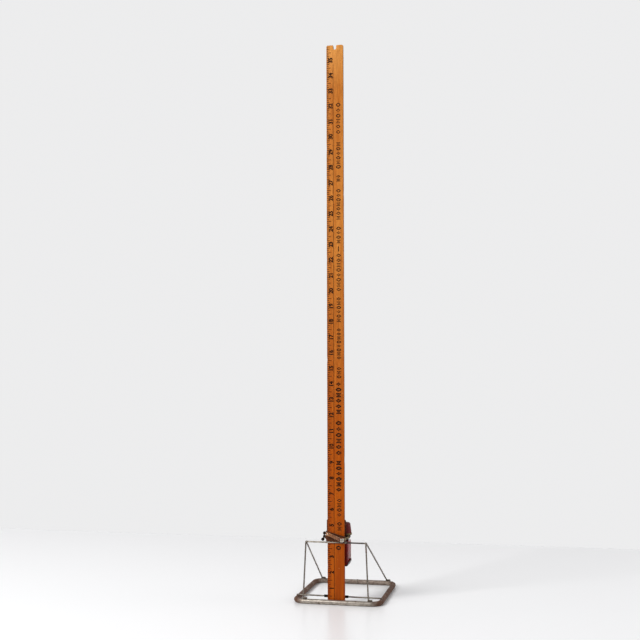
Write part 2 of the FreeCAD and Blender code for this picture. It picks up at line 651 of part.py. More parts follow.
def make_cup_band(tube):
    """A sheet band clamped round the cup."""
    outer = cup_slice("band_outer", "band_low", "band_high", "0 - band_sheet")
    inner = cup_slice("band_inner", "band_low - 0.5", "band_high + 0.5", "0")
    return keep(cut("band", outer, inner, tube), "cup_band")


def make_bracket():
    """A block of folded sheet between the saddle's back plate and the banded cup."""
    web = block("bracket_web", "0 - bracket_left", "bracket_right", SHEET_Y, "tank_y - cup_low_y + 1",
                "bracket_low", "bracket_high")
    around = cup_slice("bracket_cup", "tank_high", "cup_high", "0 - band_sheet - rest_gap")
    return keep(cut("bracket", web, around), "mount_bracket")


def make_screen(air_rod):
    """A perforated disc that breaks up lumps of powder."""
    disc = cup_slice("screen_disc", "cup_floor", "cup_floor + screen_sheet", "cup_wall + 0.05")
    return keep(cut("screen", disc, air_rod), "powder_screen")


def make_air_tube(rod):
    """The stem that carries air from the cup down into the tank."""
    bore = upright("air_hole", "tank_x", "tank_y", "air_low - 1", "cup_floor + screen_sheet + 1",
                   "air_bore")
    return keep(cut("air", rod, bore), "air_tube")


def make_bulb():
    """A rubber bulb: a standing wall, and a crown that a thumb pushes down."""
    wall_levels = (("cup_high", "bulb_low_x", "bulb_low_y"), ("bulb_seam", "bulb_seam_x", "bulb_seam_y"))
    crown_levels = (("bulb_seam", "bulb_seam_x", "bulb_seam_y"),
                    ("bulb_shoulder", "bulb_shoulder_x", "bulb_shoulder_y"),
                    ("bulb_high", "bulb_high_x", "bulb_high_y"))
    wall = cut("bulb_side", oval_loft("bulb_side_outer", wall_levels),
               oval_loft("bulb_side_inner", wall_levels, "bulb_wall"))
    room = oval_loft("bulb_room", (crown_levels[0], ("bulb_high - bulb_wall", "bulb_high_x", "bulb_high_y")),
                     "bulb_wall")
    crown = cut("bulb_top", oval_loft("bulb_top_outer", crown_levels), room)
    keep(wall, "bulb_wall")
    keep(crown, "bulb_crown")


def make_bulb_rim():
    """A thin metal rim that crimps the bulb to the cup."""
    outer = oval_loft("rim_outer", (("rim_low", "rim_x", "rim_y"), ("rim_high", "rim_x", "rim_y")))
    cup = cup_slice("rim_cup", "rim_low - 0.5", "cup_high", "0")
    wall = oval_loft("rim_wall", (("cup_high", "bulb_low_x", "bulb_low_y"),
                                  ("rim_high + 1", "bulb_low_x", "bulb_low_y")))
    return keep(cut("rim", outer, cup, wall), "bulb_rim")


def make_stand():
    ring = make_base_ring()
    sides = [make_side_wire("left_side_wire", -1), make_side_wire("right_side_wire", 1)]
    ends = [(f"{side} * cross_span / 2", CROSS_Y, "cross_height") for side in (-1, 1)]
    rail = bent_rod("cross_rail", ends, "wire_width / 2", "wire_bend")
    make_cross_wire(rail, sides)
    keeper = make_keeper(rail)
    stop_wire = make_stop_wire()
    make_foot_clip(stop_wire)
    make_weld_beads([ring, rail, keeper, stop_wire, *sides])


def make_head():
    make_saddle()
    make_boss()
    make_wing_screw()
    make_pressure_pad()
    make_brace()
    make_brace_rivet()
    tube = tube_rod("tube_outer", "tube_radius")
    keep(cut("tube", tube, tube_rod("tube_inner", "tube_radius - tube_wall")), "nozzle_tube")
    make_nozzle_tip(tube)
    air_rod = upright("air_stem", "tank_x", "tank_y", "air_low", "cup_floor + screen_sheet", "air_radius")
    make_reservoir(air_rod)
    make_filler_cap()
    make_cap_gasket()
    make_valve_cup(tube, air_rod)
    make_cup_band(tube)
    make_bracket()
    make_screen(air_rod)
    make_air_tube(air_rod)
    make_bulb()
    make_bulb_rim()


def check_and_write():
    """Stop on any failed object or empty sub-part, then write one file for each sub-part."""
    doc.recompute()
    failed = [thing.Name for thing in doc.Objects if {"Invalid", "Error"} & set(thing.State)]
    if failed:
        raise RuntimeError(f"failed objects: {failed}")
    os.makedirs("parts", exist_ok=True)
    for piece in pieces:
        shape = piece.Shape
        if shape.isNull() or not shape.isValid():
            raise RuntimeError(f"{piece.Label} has no valid shape")
        shape.exportStep(f"parts/{piece.Label}.step")
        box = shape.BoundBox
        print(f"{piece.Label}: {len(shape.Solids)} solid, {shape.Volume:.1f} mm3, "
              f"{box.XLength:.1f} x {box.YLength:.1f} x {box.ZLength:.1f}")


fill_sheet()
make_stand()
make_yardstick()
make_head()
check_and_write()
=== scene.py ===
# %% [markdown]
# # A dressmaker's hem marker
#
# The object is a wooden yardstick that stands upright in a stand of bent rod and wire. A head slides
# up and down the stick: it holds a small tank of powder, a rubber bulb and a nozzle, and it marks a
# skirt's hem at one height all the way round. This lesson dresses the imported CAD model. Hard pieces
# whose shape is right keep their CAD mesh and get a finish; the rods, the yardstick and the rubber
# bulb are built again with smoother forms, in the same place and at the same size.

# %% Open the frame
import math

import bmesh
import bpy
from mathutils import Matrix, Vector, noise


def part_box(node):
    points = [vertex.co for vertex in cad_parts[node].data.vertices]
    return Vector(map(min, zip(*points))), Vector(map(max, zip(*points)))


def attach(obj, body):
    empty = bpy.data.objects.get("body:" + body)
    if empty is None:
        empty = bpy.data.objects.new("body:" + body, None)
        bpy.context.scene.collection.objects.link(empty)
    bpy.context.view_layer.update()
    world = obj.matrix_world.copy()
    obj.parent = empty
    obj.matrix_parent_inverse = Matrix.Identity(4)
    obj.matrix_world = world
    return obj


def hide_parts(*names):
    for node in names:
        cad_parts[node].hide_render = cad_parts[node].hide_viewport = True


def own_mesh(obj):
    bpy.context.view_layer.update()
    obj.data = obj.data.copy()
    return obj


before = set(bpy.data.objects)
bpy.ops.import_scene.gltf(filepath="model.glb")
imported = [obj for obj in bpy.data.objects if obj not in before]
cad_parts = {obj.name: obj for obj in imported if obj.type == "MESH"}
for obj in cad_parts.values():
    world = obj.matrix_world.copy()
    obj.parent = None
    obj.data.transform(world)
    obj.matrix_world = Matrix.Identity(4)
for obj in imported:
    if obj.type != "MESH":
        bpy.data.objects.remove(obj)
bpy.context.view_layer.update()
MM = 0.001


# %% [markdown]
# ## Camera
#
# The marker is seen a little from its right, from about the height of a table lamp, with the whole
# stick in view. A long lens keeps the stick's edges nearly parallel. The camera could track an empty,
# but a heading and a pitch are two plain numbers, and they are easy to compare with a real tripod.

# %% Place the camera
HEADING = math.radians(-12.17)
PITCH = math.radians(2.23)
ROLL = math.radians(-0.13)
EYE = Vector((0.3457, -1.7245, 0.3918))
SENSOR_WIDTH, FOCAL_LENGTH = 36, 60.5

lens = bpy.data.cameras.new("portrait_lens")
lens.sensor_width = SENSOR_WIDTH
lens.lens = FOCAL_LENGTH
camera = bpy.data.objects.new("portrait_camera", lens)
bpy.context.scene.collection.objects.link(camera)
camera.location = EYE
turned = Matrix.Rotation(-HEADING, 3, "Z") @ Matrix.Rotation(math.pi / 2 + PITCH, 3, "X")
camera.rotation_euler = (turned @ Matrix.Rotation(ROLL, 3, "Z")).to_euler()
bpy.context.scene.camera = camera
ahead = camera.rotation_euler.to_matrix() @ Vector((0, 0, -1))
print("camera looks along", tuple(round(n, 3) for n in ahead))


# %% [markdown]
# ## Small tools for node trees
#
# Every finish below is a node tree, so a few short helpers pay for themselves: one to add a node with
# its settings, one to mix two colours, and one to remap a value. Clicking the nodes together in the
# editor would give the same trees, but code keeps the numbers in one place where they can be read.

# %% Helpers for nodes
def add(tree, kind, inputs=None, **settings):
    """Add a node, set its properties, and fill or link its inputs."""
    node = tree.nodes.new("ShaderNode" + kind)
    for name, value in settings.items():
        setattr(node, name, value)
    for socket, value in (inputs or {}).items():
        if isinstance(value, bpy.types.NodeSocket):
            tree.links.new(value, node.inputs[socket])
        else:
            node.inputs[socket].default_value = value
    return node


def sums(tree, operation, first, second=0.5):
    """One step of arithmetic on two numbers, each a socket or a plain value."""
    return add(tree, "Math", {0: first, 1: second}, operation=operation).outputs[0]


def remap(tree, value, low, high, start=0.0, end=1.0):
    """Carry a value from one range to another with a soft start and end."""
    node = add(tree, "MapRange", {"Value": value, "From Min": low, "From Max": high,
                                  "To Min": start, "To Max": end}, interpolation_type="SMOOTHSTEP")
    return node.outputs["Result"]


def blend(tree, share, first, second):
    """Lay the second colour over the first by a mask."""
    node = add(tree, "Mix", {0: share, 6: first, 7: second}, data_type="RGBA")
    return node.outputs[2]


def rgb(red, green, blue):
    """A colour named by its three screen values from 0 to 255, as the shader wants it."""
    def linear(value):
        value /= 255
        return value / 12.92 if value <= 0.04045 else ((value + 0.055) / 1.055) ** 2.4
    return (linear(red), linear(green), linear(blue), 1.0)


def new_group(name, inputs, outputs=("Mask",)):
    """An empty node group whose sockets are numbers, or vectors where the default is a triple."""
    group = bpy.data.node_groups.new(name, "ShaderNodeTree")
    for word, value in inputs.items():
        kind = "NodeSocketVector" if isinstance(value, tuple) else "NodeSocketFloat"
        group.interface.new_socket(word, in_out="INPUT", socket_type=kind).default_value = value
    for word in outputs:
        group.interface.new_socket(word, in_out="OUTPUT", socket_type="NodeSocketFloat")
    return group, group.nodes.new("NodeGroupInput").outputs, group.nodes.new("NodeGroupOutput").inputs


def place_group(tree, group, **inputs):
    """Put a group in a material with its own values, and give back its first output."""
    node = tree.nodes.new("ShaderNodeGroup")
    node.node_tree = group
    for word, value in inputs.items():
        node.inputs[word.replace("_", " ").capitalize()].default_value = value
    return node.outputs[0]


print("node helpers ready")


# %% [markdown]
# ## Streaks and blotches
#
# Drawn wire has fine lines along its length, and wood has fibres. Both are a noise that has been
# pulled long in one direction. Tarnish, rust and worn varnish come in patches instead, which are a
# rounder noise cut off at a level. These two groups are used by nearly every finish here. They read
# the object's own coordinates, so a pattern stays on its piece when the piece moves.

# %% Build the streak and blotch groups
def make_streaks():
    group, given, out = new_group("Streaks", {"Stretch": (1.0, 1.0, 1.0), "Scale": 800.0,
                                              "Contrast": 0.2})
    place = add(group, "TexCoord").outputs["Object"]
    pulled = add(group, "VectorMath", {0: place, 1: given["Stretch"]}, operation="MULTIPLY").outputs[0]
    lines = add(group, "TexNoise", {"Vector": pulled, "Scale": given["Scale"], "Detail": 4.0})
    low = sums(group, "SUBTRACT", 0.5, given["Contrast"])
    high = sums(group, "ADD", 0.5, given["Contrast"])
    group.links.new(remap(group, lines.outputs[0], low, high), out["Mask"])
    return group


def make_blotches():
    group, given, out = new_group("Blotches", {"Scale": 80.0, "Cover": 0.5, "Softness": 0.1,
                                               "Seed": 0.0})
    place = add(group, "TexCoord").outputs["Object"]
    moved = add(group, "VectorMath", {0: place, 1: given["Seed"]}, operation="ADD").outputs[0]
    patches = add(group, "TexNoise", {"Vector": moved, "Scale": given["Scale"], "Detail": 6.0,
                                      "Roughness": 0.62})
    level = remap(group, given["Cover"], 0.0, 1.0, 0.72, 0.28)
    low = sums(group, "SUBTRACT", level, given["Softness"])
    high = sums(group, "ADD", level, given["Softness"])
    group.links.new(remap(group, patches.outputs[0], low, high), out["Mask"])
    return group


STREAKS = make_streaks()
BLOTCHES = make_blotches()
print("groups:", STREAKS.name, BLOTCHES.name)


# %% [markdown]
# ## Worn edges and settled dust
#
# Hands and cloth rub an old tool along its edges first. A Bevel node bends the normal near an edge,
# so the difference from the true normal is a mask of the edges, and a noise breaks that mask up.
# Painting the wear by hand would follow the story more closely, but this way it lands on every edge
# of every piece, at a true size. Dust does the opposite: it lies where a surface faces up.

# %% Build the edge and dust groups
def make_edge_wear():
    group, given, out = new_group("Worn edges", {"Width": 0.0006, "Strength": 3.0, "Scale": 600.0})
    soft = add(group, "Bevel", {"Radius": given["Width"]}, samples=4).outputs[0]
    true = add(group, "NewGeometry").outputs["Normal"]
    same = add(group, "VectorMath", {0: soft, 1: true}, operation="DOT_PRODUCT").outputs["Value"]
    bend = sums(group, "MULTIPLY", sums(group, "SUBTRACT", 1.0, same), given["Strength"])
    place = add(group, "TexCoord").outputs["Object"]
    rough = add(group, "TexNoise", {"Vector": place, "Scale": given["Scale"], "Detail": 4.0}).outputs[0]
    broken = sums(group, "MULTIPLY", bend, remap(group, rough, 0.3, 0.6, 0.2, 1.4))
    group.links.new(add(group, "Clamp", {0: broken}).outputs[0], out["Mask"])
    return group


def make_dust():
    group, given, out = new_group("Settled dust", {"Amount": 0.5, "Scale": 300.0})
    facing = add(group, "SeparateXYZ", {0: add(group, "NewGeometry").outputs["Normal"]}).outputs["Z"]
    place = add(group, "TexCoord").outputs["Object"]
    specks = add(group, "TexNoise", {"Vector": place, "Scale": given["Scale"],
                                     "Detail": 5.0}).outputs[0]
    upward = remap(group, facing, 0.2, 0.95)
    lying = sums(group, "MULTIPLY", upward, remap(group, specks, 0.3, 0.7, 0.3, 1.0))
    group.links.new(sums(group, "MULTIPLY", lying, given["Amount"]), out["Mask"])
    return group


EDGE_WEAR = make_edge_wear()
DUST = make_dust()
DUST_COLOUR = rgb(168, 160, 150)
print("groups:", EDGE_WEAR.name, DUST.name)


# %% [markdown]
# ## Bare metal
#
# All the metals share one recipe: a clean colour, a duller colour in streaks and blotches, a rust or
# tarnish colour in patches, and bright worn edges. Rust is not a metal to light, so where it lies the
# metallic value falls and the roughness rises. One function makes them all, because the difference
# between nickel plate and an old wire is only in the numbers. Two extra masks lay that same colour
# on: rust at the sides and back of the stand, and painted shade to the right of the stick.

# %% The metal recipe
def begin(name, **sockets):
    """A new material with its shader's constant sockets set."""
    material = bpy.data.materials.new(name)
    material.use_nodes = True
    shader = material.node_tree.nodes["Principled BSDF"]
    for word, value in sockets.items():
        shader.inputs[word.replace("_", " ")].default_value = value
    return material, material.node_tree, shader


def finish(tree, shader, **sockets):
    """Link what varies over the surface into the shader."""
    for word, value in sockets.items():
        tree.links.new(value, shader.inputs[word.replace("_", " ")])


def relief(tree, height, depth, distance=0.0002):
    """Turn a height into a bent normal."""
    node = add(tree, "Bump", {"Height": height, "Strength": depth, "Distance": distance})
    return node.outputs["Normal"]


def metal(name, clean, dull, rust, cover, edge, smooth=0.3, along=(0.05, 1.0, 1.0), extra=None,
          patch=70.0):
    """Clean and dull metal in streaks, with patches of rust and rubbed edges.

    extra is a function that gives one more mask in the rust colour: rust for the stand, painted shade
    for the rail and strap.
    """
    material, tree, shader = begin(name)
    lines = place_group(tree, STREAKS, stretch=along, scale=900.0, contrast=0.25)
    patches = place_group(tree, BLOTCHES, scale=patch * 2, cover=0.5, softness=0.14, seed=3.0)
    dullness = sums(tree, "MULTIPLY", sums(tree, "ADD", lines, patches), 0.5)
    rust_and_shade = place_group(tree, BLOTCHES, scale=patch, cover=cover, softness=0.07, seed=8.0)
    # For the rail and strap the extra mask is painted shade, drawn in the rust colour, so that colour
    # is painted shade there too.
    if extra:
        rust_and_shade = sums(tree, "MAXIMUM", rust_and_shade, extra(tree))
    rubbed = place_group(tree, EDGE_WEAR, width=0.0005, strength=4.0, scale=700.0)
    colour = blend(tree, dullness, clean, dull)
    colour = blend(tree, rust_and_shade, colour, rust)
    colour = blend(tree, rubbed, colour, edge)
    pits = add(tree, "TexNoise", {"Vector": add(tree, "TexCoord").outputs["Object"], "Scale": 1500.0,
                                  "Detail": 4.0}).outputs[0]
    height = sums(tree, "MULTIPLY", pits, remap(tree, rust_and_shade, 0.0, 1.0, 0.25, 1.0))
    worn = sums(tree, "ADD", remap(tree, dullness, 0.0, 1.0, smooth, smooth + 0.2),
                remap(tree, rust_and_shade, 0.0, 1.0, 0.0, 0.4))
    finish(tree, shader, Base_Color=colour, Roughness=worn,
           Metallic=remap(tree, rust_and_shade, 0.0, 1.0, 1.0, 0.25), Normal=relief(tree, height, 0.35))
    return material


def side_bar_rust(tree):
    """More rust towards the stand's two sides and its back bar, in ragged patches."""
    place = add(tree, "SeparateXYZ", {0: add(tree, "TexCoord").outputs["Object"]})
    out_from_middle = sums(tree, "ABSOLUTE", sums(tree, "SUBTRACT", place.outputs["X"], SIDE_MIDDLE))
    ragged = place_group(tree, BLOTCHES, scale=160.0, cover=0.82, softness=0.2, seed=5.0)
    sides = remap(tree, out_from_middle, 0.052, 0.068)
    back_bar = remap(tree, place.outputs["Y"], 0.1, 0.155, 0.0, 0.55)
    return sums(tree, "MULTIPLY", sums(tree, "MAXIMUM", sides, back_bar), ragged)


def right_hand_grime(tree):
    """Painted shade in ragged patches on whatever lies to the right of the stick; its left part keeps a
    painted highlight.
    """
    place = add(tree, "TexCoord").outputs["Object"]
    across = add(tree, "SeparateXYZ", {0: place}).outputs["X"]
    ragged = place_group(tree, BLOTCHES, scale=240.0, cover=0.86, softness=0.2, seed=5.0)
    return sums(tree, "MULTIPLY", remap(tree, across, -0.008, 0.014), ragged)


ring_low, ring_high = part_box("base_ring")
SIDE_MIDDLE = (ring_low.x + ring_high.x) / 2

RUST = rgb(92, 60, 42)
rod_steel = metal("galvanised_rod", rgb(205, 196, 184), rgb(122, 112, 102), RUST, 0.3,
                  rgb(215, 208, 198), smooth=0.34, extra=side_bar_rust)
# The rail's dark colour on its right half is painted shade, laid on by its extra mask.
rail_steel = metal("drawn_rail", rgb(196, 186, 172), rgb(122, 112, 100), rgb(62, 54, 47), 0.2,
                   rgb(190, 182, 170), smooth=0.32, extra=right_hand_grime)
wire_steel = metal("drawn_wire", rgb(150, 142, 132), rgb(88, 80, 72), RUST, 0.36,
                   rgb(170, 162, 150), smooth=0.36)
black_steel = metal("blacked_clip", rgb(40, 38, 36), rgb(22, 21, 20), rgb(70, 46, 32), 0.2,
                    rgb(110, 102, 92), smooth=0.42)
# Painted shade: this dark reddish brown is the colour of the stick in shadow around the strap, given to
# the saddle and to the other pieces that wear this finish.
steel_toned_as_shade = metal("saddle_toned_as_shade", rgb(108, 66, 44), rgb(58, 34, 24), rgb(66, 36, 22), 0.34,
                   rgb(150, 122, 98), smooth=0.3, along=(1.0, 1.0, 0.08))
nickel = metal("nickel_plate", rgb(232, 224, 210), rgb(176, 164, 146), rgb(104, 78, 54), 0.16,
               rgb(240, 232, 218), smooth=0.16, patch=220.0)
# The strap's warm brown is tarnish and a painted reflection of the orange stick; its extra mask paints
# shade on the right and leaves a painted highlight at its left end.
strap_steel = metal("strap_tarnish_and_reflection", rgb(206, 148, 104), rgb(128, 78, 50), rgb(82, 42, 25), 0.36,
                    rgb(236, 222, 202), smooth=0.26, extra=right_hand_grime, patch=150.0)
screw_steel = metal("blackened_screw", rgb(54, 43, 34), rgb(28, 23, 18), rgb(48, 31, 20), 0.3,
                    rgb(112, 98, 82), smooth=0.3)
old_brass = metal("old_brass", rgb(150, 124, 78), rgb(82, 68, 44), rgb(58, 50, 34), 0.38,
                  rgb(196, 164, 104), smooth=0.3, patch=180.0)
print("metals:", [m.name for m in (rod_steel, rail_steel, wire_steel, black_steel, steel_toned_as_shade, nickel,
                                   strap_steel, screw_steel, old_brass)])


# %% [markdown]
# ## Plastic and rubber
#
# The tank is a glossy moulded plastic of the kind used before polythene, hard and deep in colour. Its
# gloss is a thin clear layer, the coat, over a red that drifts a little from place to place. The cup
# and the cap are a near-black plastic of the same kind. Old rubber is softer to light: a dull skin
# with a pale bloom where it has dried. Scratches here are streaks that only touch the roughness.

# %% The moulded and rubber finishes
def moulded(name, deep, light, coat, smooth, edge, bloom=0.25, grain=900.0, depth=0.08):
    """A moulded piece: drifting colour, a little dust on top, dulled edges and fine scratches."""
    material, tree, shader = begin(name, Coat_Roughness=0.1, Coat_IOR=1.5, Specular_IOR_Level=0.2)
    shader.inputs["Coat Weight"].default_value = coat
    drift = place_group(tree, BLOTCHES, scale=45.0, cover=0.5, softness=0.2, seed=2.0)
    colour = blend(tree, drift, deep, light)
    rubbed = place_group(tree, EDGE_WEAR, width=0.0006, strength=2.2, scale=900.0)
    colour = blend(tree, rubbed, colour, edge)
    lying = place_group(tree, DUST, amount=bloom, scale=500.0)
    colour = blend(tree, lying, colour, DUST_COLOUR)
    marks = place_group(tree, STREAKS, stretch=(1.0, 1.0, 0.12), scale=1300.0, contrast=0.08)
    skin = add(tree, "TexNoise", {"Vector": add(tree, "TexCoord").outputs["Object"], "Scale": grain,
                                  "Detail": 3.0}).outputs[0]
    finish(tree, shader, Base_Color=colour, Normal=relief(tree, skin, depth),
           Roughness=sums(tree, "ADD", remap(tree, marks, 0.0, 1.0, smooth, smooth + 0.06), lying))
    return material


red_plastic = moulded("deep_red_tank", rgb(108, 0, 4), rgb(134, 2, 7), 0.2, 0.17,
                      rgb(140, 22, 20), bloom=0.02)
dark_plastic = moulded("dark_cup", rgb(36, 10, 9), rgb(50, 16, 12), 0.3, 0.34, rgb(78, 34, 26),
                       bloom=0.12)
maroon_rubber = moulded("maroon_rubber", rgb(86, 8, 6), rgb(106, 15, 11), 0.04, 0.5,
                        rgb(118, 36, 26), bloom=0.14, grain=1600.0, depth=0.25)
black_rubber = moulded("black_rubber", rgb(26, 25, 24), rgb(38, 36, 34), 0.0, 0.6, rgb(66, 62, 58),
                       grain=1600.0, depth=0.25)
print("moulded:", [m.name for m in (red_plastic, dark_plastic, maroon_rubber, black_rubber)])


# %% [markdown]
# ## Varnished wood
#
# The stick is a light hardwood under an orange-brown varnish that has darkened, most of all in its
# lower half where it is handled. Fibres run up the stick, so the noise is pulled long along Z: wide
# bands for the growth rings, and fine dark threads for the pores. The narrow sides are darker than
# the face, as painted shade. Where the varnish has rubbed off the edges, the wood under it is dirty,
# and that dark edge colour is painted shade along the sides as well; fingers have left smudges down
# the left side, along the scale.

# %% The varnish
DARK_BELOW, LIGHT_ABOVE = 0.2, 0.62
PALE_FROM, PALE_TOP = 0.83, 0.93


def make_wood():
    material, tree, shader = begin("varnished_wood", Coat_Roughness=0.25, Coat_IOR=1.45,
                                   Specular_IOR_Level=0.05)
    place = add(tree, "SeparateXYZ", {0: add(tree, "TexCoord").outputs["Object"]})
    up = place.outputs["Z"]
    bands = place_group(tree, STREAKS, stretch=(1.0, 1.0, 0.035), scale=210.0, contrast=0.22)
    pores = place_group(tree, STREAKS, stretch=(1.0, 1.0, 0.02), scale=2600.0, contrast=0.16)
    low_wood = blend(tree, bands, rgb(182, 88, 12), rgb(156, 66, 7))
    high_wood = blend(tree, bands, rgb(208, 132, 56), rgb(188, 108, 38))
    colour = blend(tree, remap(tree, up, DARK_BELOW, LIGHT_ABOVE), low_wood, high_wood)
    colour = blend(tree, remap(tree, up, PALE_FROM, PALE_TOP), colour, rgb(222, 152, 76))
    threads = sums(tree, "MULTIPLY", remap(tree, pores, 0.35, 1.0), 0.42)
    colour = blend(tree, threads, colour, rgb(112, 52, 16))
    stains = place_group(tree, BLOTCHES, scale=55.0, cover=0.2, softness=0.12, seed=4.0)
    colour = blend(tree, sums(tree, "MULTIPLY", stains, 0.5), colour, rgb(120, 52, 18))
    # Painted shade: the narrow sides, found by their normal, are darkened with a brown.
    facing = add(tree, "SeparateXYZ", {0: add(tree, "NewGeometry").outputs["Normal"]}).outputs["X"]
    side = remap(tree, sums(tree, "ABSOLUTE", facing), 0.5, 0.95, 0.0, 0.62)
    colour = blend(tree, side, colour, rgb(86, 40, 18))
    # The dark rubbed edges are dirt on worn varnish and also painted shade along the stick's sides.
    rubbed = place_group(tree, EDGE_WEAR, width=0.0008, strength=2.4, scale=420.0)
    colour = blend(tree, sums(tree, "MULTIPLY", rubbed, 0.85), colour, rgb(88, 40, 17))
    left = remap(tree, place.outputs["X"], -0.0135, -0.0075, 1.0, 0.0)
    smudges = place_group(tree, BLOTCHES, scale=170.0, cover=0.55, softness=0.25, seed=9.0)
    handled = sums(tree, "MULTIPLY", sums(tree, "MULTIPLY", left, smudges), 0.5)
    colour = blend(tree, handled, colour, rgb(104, 44, 14))
    chips = place_group(tree, BLOTCHES, scale=260.0, cover=0.13, softness=0.04, seed=6.0)
    colour = blend(tree, sums(tree, "MULTIPLY", chips, 0.6), colour, rgb(226, 166, 104))
    height = sums(tree, "ADD", pores, bands)
    finish(tree, shader, Base_Color=colour, Normal=relief(tree, height, 0.12),
           Roughness=remap(tree, rubbed, 0.0, 1.0, 0.42, 0.7),
           Coat_Weight=remap(tree, rubbed, 0.0, 0.6, 0.05, 0.01))
    return material


varnished_wood = make_wood()
print("wood:", varnished_wood.name)


# %% [markdown]
# ## Printing ink
#
# The scale was printed on the wood before the last coat of varnish, in a dark brown ink. It has
# worn thin in places, which the alpha value shows: where a noise is high, the wood comes through.
# The letters of the real stick's advertisement are left out, and a row of plain printer's ornaments
# of the same size and rhythm stands in for them.

# %% The ink
def make_ink(name, colour, worn, scale):
    material, tree, shader = begin(name, Roughness=0.6, Specular_IOR_Level=0.06)
    gone = place_group(tree, BLOTCHES, scale=scale, cover=worn, softness=0.16, seed=1.0)
    thin = place_group(tree, STREAKS, stretch=(1.0, 1.0, 0.05), scale=1900.0, contrast=0.25)
    faded = sums(tree, "MAXIMUM", gone, sums(tree, "MULTIPLY", thin, 0.25))
    finish(tree, shader, Base_Color=blend(tree, thin, colour, rgb(70, 36, 18)),
           Alpha=sums(tree, "SUBTRACT", 1.0, sums(tree, "MULTIPLY", faded, 0.85)))
    return material


scale_ink = make_ink("scale_ink", rgb(26, 10, 4), 0.14, 420.0)
bold_ink = make_ink("ornament_ink", rgb(26, 12, 6), 0.12, 380.0)
print("inks:", scale_ink.name, bold_ink.name)


# %% [markdown]
# ## From points to pieces
#
# A rod is a circle carried along a path. Blender's curves can do that with a bevel depth, and it is
# the quickest way, but a mesh of our own lets the ends be chamfered and closed, and it exports as it
# stands. Corners of the path become arcs first, because a rod bent over a former has a true radius.

# %% Helpers for meshes
def arc_corner(before, corner, after, bend, steps):
    """Points along the arc that rounds a corner of a path."""
    inward, onward = (before - corner).normalized(), (after - corner).normalized()
    half = inward.angle(onward) / 2
    centre = corner + (inward + onward).normalized() * (bend / math.sin(half))
    start = corner + inward * (bend / math.tan(half)) - centre
    axis = start.cross(corner + onward * (bend / math.tan(half)) - centre).normalized()
    turn = math.pi - 2 * half
    return [centre + Matrix.Rotation(turn * step / steps, 3, axis) @ start for step in range(steps + 1)]


def bent_path(corners, bend, closed=False, steps=10):
    """Straight runs joined by arcs, in millimetres."""
    corners = [Vector(corner) for corner in corners]
    inner = range(len(corners)) if closed else range(1, len(corners) - 1)
    path = [] if closed else [corners[0]]
    for number in inner:
        after = corners[(number + 1) % len(corners)]
        path += arc_corner(corners[number - 1], corners[number], after, bend, steps)
    return path if closed else path + [corners[-1]]


def sweep(path, radius, sides=20, closed=False, chamfer=0.25):
    """Rings of points carried along a path: vertices and faces of a closed rod, in millimetres."""
    count = len(path)
    stations = []
    for number, place in enumerate(path):
        before = path[number - 1] if number or closed else place
        after = path[(number + 1) % count] if number < count - 1 or closed else place
        stations.append((place, (after - before).normalized(), radius))
    if not closed:
        (first, way_in, _), (last, way_out, _) = stations[0], stations[-1]
        stations[0] = (first + way_in * chamfer, way_in, radius)
        stations[-1] = (last - way_out * chamfer, way_out, radius)
        stations = [(first, way_in, radius - chamfer), *stations, (last, way_out, radius - chamfer)]
    across = Vector((0, 0, 1)) if abs(stations[0][1].z) < 0.9 else Vector((1, 0, 0))
    vertices = []
    for place, along, reach in stations:
        across = (across - along * across.dot(along)).normalized()
        beside = along.cross(across)
        for side in range(sides):
            angle = math.tau * side / sides
            vertices.append(place + (across * math.cos(angle) + beside * math.sin(angle)) * reach)
    rings = len(stations)
    faces = []
    for ring in range(rings if closed else rings - 1):
        here, there = ring * sides, ((ring + 1) % rings) * sides
        faces += [(here + s, here + (s + 1) % sides, there + (s + 1) % sides, there + s)
                  for s in range(sides)]
    if not closed:
        faces += [tuple(reversed(range(sides))), tuple(range((rings - 1) * sides, rings * sides))]
    return vertices, faces


def add_piece(name, vertices, faces, material, body, slot, replaced=(), sharp=40):
    """Make a mesh piece from millimetres, turn its faces outwards, and let it ride on its body."""
    form = bmesh.new()
    points = [form.verts.new(Vector(v) * MM) for v in vertices]
    for face in faces:
        form.faces.new([points[corner] for corner in face])
    bmesh.ops.recalc_face_normals(form, faces=form.faces)
    return add_form(name, form, material, body, replaced, sharp)


def add_form(name, form, material, body, replaced=(), sharp=40):
    """The same for a form that is already in metres."""
    mesh = bpy.data.meshes.new(name)
    form.to_mesh(mesh)
    form.free()
    mesh.materials.append(material)
    mesh.shade_smooth()
    mesh.set_sharp_from_angle(angle=math.radians(sharp))
    piece = bpy.data.objects.new(name, mesh)
    bpy.context.scene.collection.objects.link(piece)
    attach(piece, body)
    if replaced:
        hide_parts(*replaced)
    print(f"{name}: {len(mesh.vertices)} points, {len(mesh.polygons)} faces")
    return piece


# %% [markdown]
# ## The base ring
#
# One heavy rod, bent to a rounded rectangle and butt welded in the middle of the back bar. It lies
# flat, so its path is four corners in one plane, and its size comes from the CAD node's own box.

# %% Bend the base ring
ROD = 8.0 / 2
RING_BEND = 16.0


def corners_of(low, high, inset):
    """The four corners of a box seen from above, in millimetres, moved in by a distance."""
    left, right = low.x / MM + inset, high.x / MM - inset
    front, back = low.y / MM + inset, high.y / MM - inset
    height = (low.z + high.z) / 2 / MM
    return [(left, front, height), (right, front, height), (right, back, height), (left, back, height)]


ring_path = bent_path(corners_of(ring_low, ring_high, ROD), RING_BEND, closed=True, steps=14)
add_piece("bent_base_ring", *sweep(ring_path, ROD, sides=32, closed=True), rod_steel, "stand",
          "bare_steel", ["base_ring"])


# %% [markdown]
# ## The wires
#
# Two side wires rise from the ring, each a steep front leg and a long back leg with a short toe at
# both ends. A straight wire joins their tops in front of the stick, a small staple closes the space
# behind it, and a thin, slightly crooked wire crosses the ring behind the stick's foot.

